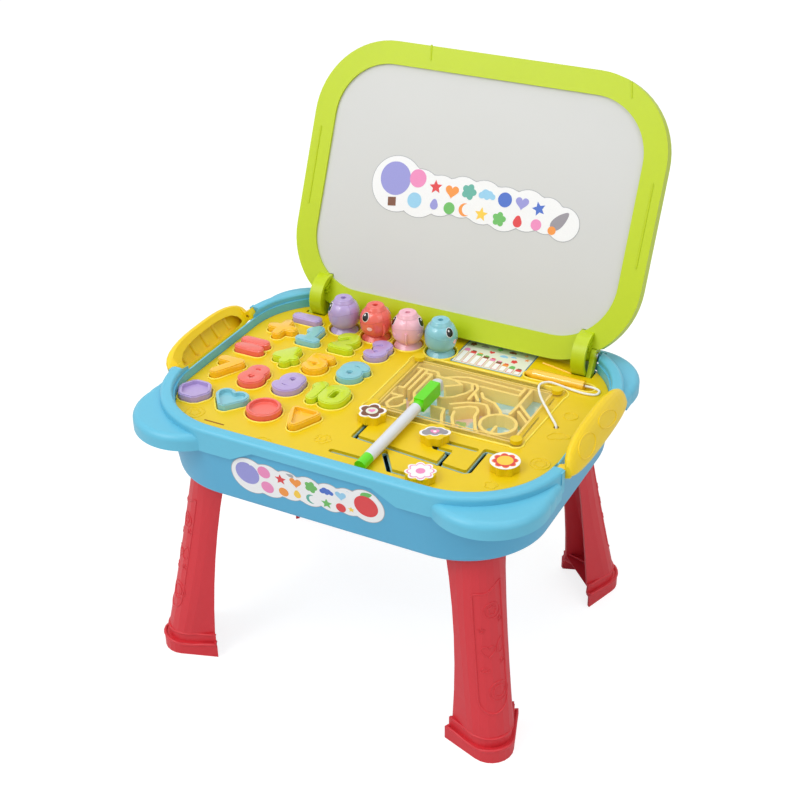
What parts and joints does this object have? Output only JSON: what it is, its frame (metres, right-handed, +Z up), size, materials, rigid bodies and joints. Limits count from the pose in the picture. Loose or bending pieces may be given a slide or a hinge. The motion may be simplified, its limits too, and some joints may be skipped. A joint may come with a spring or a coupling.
{
  "type": "children's activity table",
  "caption": "Low play table with removable legs, a tub with a panel of loose pieces, slots and a maze, hinged side latches and a drawing board that folds up.",
  "frame": {"origin": "on the floor, midway between the left and right corners of the tub, near the middle from front to back", "axes": "+X to the right, +Y to the back where the drawing board stands, +Z up"},
  "size_m": [0.334, 0.3132, 0.4017],
  "materials": {
    "blue_rim": "glossy moulded plastic",
    "blue_tub": "glossy moulded plastic",
    "yellow": "glossy moulded plastic",
    "track_blue": "glossy moulded plastic",
    "maze_print": "printed card",
    "maze_tan": "glossy moulded plastic",
    "clear": "clear moulded plastic",
    "card_print": "glossy printed card",
    "lime": "glossy moulded plastic",
    "whiteboard": "smooth white drawing surface",
    "steel": "plain steel",
    "red": "satin moulded plastic",
    "purple": "glossy moulded plastic",
    "orange": "glossy moulded plastic",
    "coral": "glossy moulded plastic",
    "light_blue": "glossy moulded plastic",
    "pink": "glossy moulded plastic",
    "stamp_sole": "glossy moulded plastic",
    "marker_green": "glossy moulded plastic",
    "marker_white": "glossy moulded plastic",
    "felt": "white felt",
    "cord_white": "braided white cord"
  },
  "bodies": {
    "table": {"tub": "blue_tub", "rim_frame": "blue_rim", "play_panel": "yellow", "track_plate": "track_blue", "maze_tray": "track_blue", "maze_floor_card": "maze_print", "maze_walls": "maze_tan", "maze_cover": "clear", "maze_cover_rivets": "yellow", "picture_card": "card_print", "hinge_bracket_left": "lime", "hinge_bracket_right": "lime", "hinge_pins": "steel", "latch_pins": "steel", "tub_screws": "steel", "pen_cord": "cord_white"},
    "lid": {"lid_frame": "lime", "whiteboard": "whiteboard", "lid_back": "lime", "lid_screws": "steel"},
    "latch_left": {"latch_left": "yellow"},
    "latch_right": {"latch_right": "yellow"},
    "leg_front_left": {"leg_front_left": "red"},
    "leg_front_right": {"leg_front_right": "red"},
    "leg_back_left": {"leg_back_left": "red"},
    "leg_back_right": {"leg_back_right": "red"},
    "piece_minus": {"piece_minus": "purple"},
    "piece_plus": {"piece_plus": "orange"},
    "piece_equals": {"piece_equals": "coral"},
    "number_1": {"number_1": "light_blue"},
    "number_2": {"number_2": "lime"},
    "number_3": {"number_3": "purple"},
    "number_4": {"number_4": "lime"},
    "number_5": {"number_5": "orange"},
    "number_6": {"number_6": "light_blue"},
    "number_7": {"number_7": "orange"},
    "number_8": {"number_8": "coral"},
    "number_9": {"number_9": "purple"},
    "number_10": {"number_10": "lime"},
    "shape_hexagon": {"shape_hexagon": "purple"},
    "shape_heart": {"shape_heart": "light_blue"},
    "shape_circle": {"shape_circle": "coral"},
    "shape_triangle": {"shape_triangle": "orange"},
    "stamp_purple": {"stamp_purple": "purple", "stamp_foot_purple": "stamp_sole"},
    "stamp_coral": {"stamp_coral": "coral", "stamp_foot_coral": "stamp_sole"},
    "stamp_pink": {"stamp_pink": "pink", "stamp_foot_pink": "stamp_sole"},
    "stamp_blue": {"stamp_blue": "light_blue", "stamp_foot_blue": "stamp_sole"},
    "knob_front_left": {"knob_front_left": "yellow"},
    "knob_middle": {"knob_middle": "yellow"},
    "knob_front": {"knob_front": "yellow"},
    "knob_right": {"knob_right": "yellow"},
    "marker": {"marker_barrel": "marker_white", "marker_end_plug": "marker_green"},
    "marker_cap": {"marker_cap": "marker_green", "marker_eraser": "felt"},
    "stylus": {"stylus": "yellow"}
  },
  "joints": [
    {"name": "lid_hinge", "type": "hinge", "parent": "table", "child": "lid", "pos_m": [0, 0.096, 0.213], "axis": [-1, 0, 0], "range_deg": [-60, 16]},
    {"name": "latch_left_hinge", "type": "hinge", "parent": "table", "child": "latch_left", "pos_m": [-0.153, -0.0015, 0.208], "axis": [0, -1, 0], "range_deg": [-56, 4]},
    {"name": "latch_right_hinge", "type": "hinge", "parent": "table", "child": "latch_right", "pos_m": [0.153, -0.0015, 0.208], "axis": [0, 1, 0], "range_deg": [-2, 58]},
    {"name": "leg_front_left_pull", "type": "slide", "parent": "table", "child": "leg_front_left", "axis": [-0.1387, -0.1387, -0.9806], "range_m": [0, 0.03]},
    {"name": "leg_front_right_pull", "type": "slide", "parent": "table", "child": "leg_front_right", "axis": [0.1387, -0.1387, -0.9806], "range_m": [0, 0.03]},
    {"name": "leg_back_left_pull", "type": "slide", "parent": "table", "child": "leg_back_left", "axis": [-0.1387, 0.1387, -0.9806], "range_m": [0, 0.03]},
    {"name": "leg_back_right_pull", "type": "slide", "parent": "table", "child": "leg_back_right", "axis": [0.1387, 0.1387, -0.9806], "range_m": [0, 0.03]},
    {"name": "knob_front_left_slide", "type": "slide", "parent": "table", "child": "knob_front_left", "axis": [0, -1, 0], "range_m": [0, 0.024]},
    {"name": "knob_middle_slide", "type": "slide", "parent": "table", "child": "knob_middle", "axis": [1, 0, 0], "range_m": [0, 0.02]},
    {"name": "knob_front_slide", "type": "slide", "parent": "table", "child": "knob_front", "axis": [-1, 0, 0], "range_m": [0, 0.022]},
    {"name": "knob_right_slide", "type": "slide", "parent": "table", "child": "knob_right", "axis": [0, 1, 0], "range_m": [0, 0.013]},
    {"name": "marker_lift", "type": "slide", "parent": "table", "child": "marker", "axis": [0, 0, 1], "range_m": [0, 0.05]},
    {"name": "marker_cap_pull", "type": "slide", "parent": "marker", "child": "marker_cap", "axis": [0.0209, 0.9994, 0.0291], "range_m": [0, 0.03]},
    {"name": "stylus_lift", "type": "slide", "parent": "table", "child": "stylus", "axis": [0, 0, 1], "range_m": [0, 0.012]},
    {"name": "stamp_purple_lift", "type": "slide", "parent": "table", "child": "stamp_purple", "axis": [0, 0, 1], "range_m": [0, 0.04]},
    {"name": "stamp_coral_lift", "type": "slide", "parent": "table", "child": "stamp_coral", "axis": [0, 0, 1], "range_m": [0, 0.04]},
    {"name": "stamp_pink_lift", "type": "slide", "parent": "table", "child": "stamp_pink", "axis": [0, 0, 1], "range_m": [0, 0.04]},
    {"name": "stamp_blue_lift", "type": "slide", "parent": "table", "child": "stamp_blue", "axis": [0, 0, 1], "range_m": [0, 0.04]},
    {"name": "piece_minus_lift", "type": "slide", "parent": "table", "child": "piece_minus", "axis": [0, 0, 1], "range_m": [0, 0.03]},
    {"name": "piece_plus_lift", "type": "slide", "parent": "table", "child": "piece_plus", "axis": [0, 0, 1], "range_m": [0, 0.03]},
    {"name": "piece_equals_lift", "type": "slide", "parent": "table", "child": "piece_equals", "axis": [0, 0, 1], "range_m": [0, 0.03]},
    {"name": "number_1_lift", "type": "slide", "parent": "table", "child": "number_1", "axis": [0, 0, 1], "range_m": [0, 0.03]},
    {"name": "number_2_lift", "type": "slide", "parent": "table", "child": "number_2", "axis": [0, 0, 1], "range_m": [0, 0.03]},
    {"name": "number_3_lift", "type": "slide", "parent": "table", "child": "number_3", "axis": [0, 0, 1], "range_m": [0, 0.03]},
    {"name": "number_4_lift", "type": "slide", "parent": "table", "child": "number_4", "axis": [0, 0, 1], "range_m": [0, 0.03]},
    {"name": "number_5_lift", "type": "slide", "parent": "table", "child": "number_5", "axis": [0, 0, 1], "range_m": [0, 0.03]},
    {"name": "number_6_lift", "type": "slide", "parent": "table", "child": "number_6", "axis": [0, 0, 1], "range_m": [0, 0.03]},
    {"name": "number_7_lift", "type": "slide", "parent": "table", "child": "number_7", "axis": [0, 0, 1], "range_m": [0, 0.03]},
    {"name": "number_8_lift", "type": "slide", "parent": "table", "child": "number_8", "axis": [0, 0, 1], "range_m": [0, 0.03]},
    {"name": "number_9_lift", "type": "slide", "parent": "table", "child": "number_9", "axis": [0, 0, 1], "range_m": [0, 0.03]},
    {"name": "number_10_lift", "type": "slide", "parent": "table", "child": "number_10", "axis": [0, 0, 1], "range_m": [0, 0.03]},
    {"name": "shape_hexagon_lift", "type": "slide", "parent": "table", "child": "shape_hexagon", "axis": [0, 0, 1], "range_m": [0, 0.03]},
    {"name": "shape_heart_lift", "type": "slide", "parent": "table", "child": "shape_heart", "axis": [0, 0, 1], "range_m": [0, 0.03]},
    {"name": "shape_circle_lift", "type": "slide", "parent": "table", "child": "shape_circle", "axis": [0, 0, 1], "range_m": [0, 0.03]},
    {"name": "shape_triangle_lift", "type": "slide", "parent": "table", "child": "shape_triangle", "axis": [0, 0, 1], "range_m": [0, 0.03]}
  ]
}
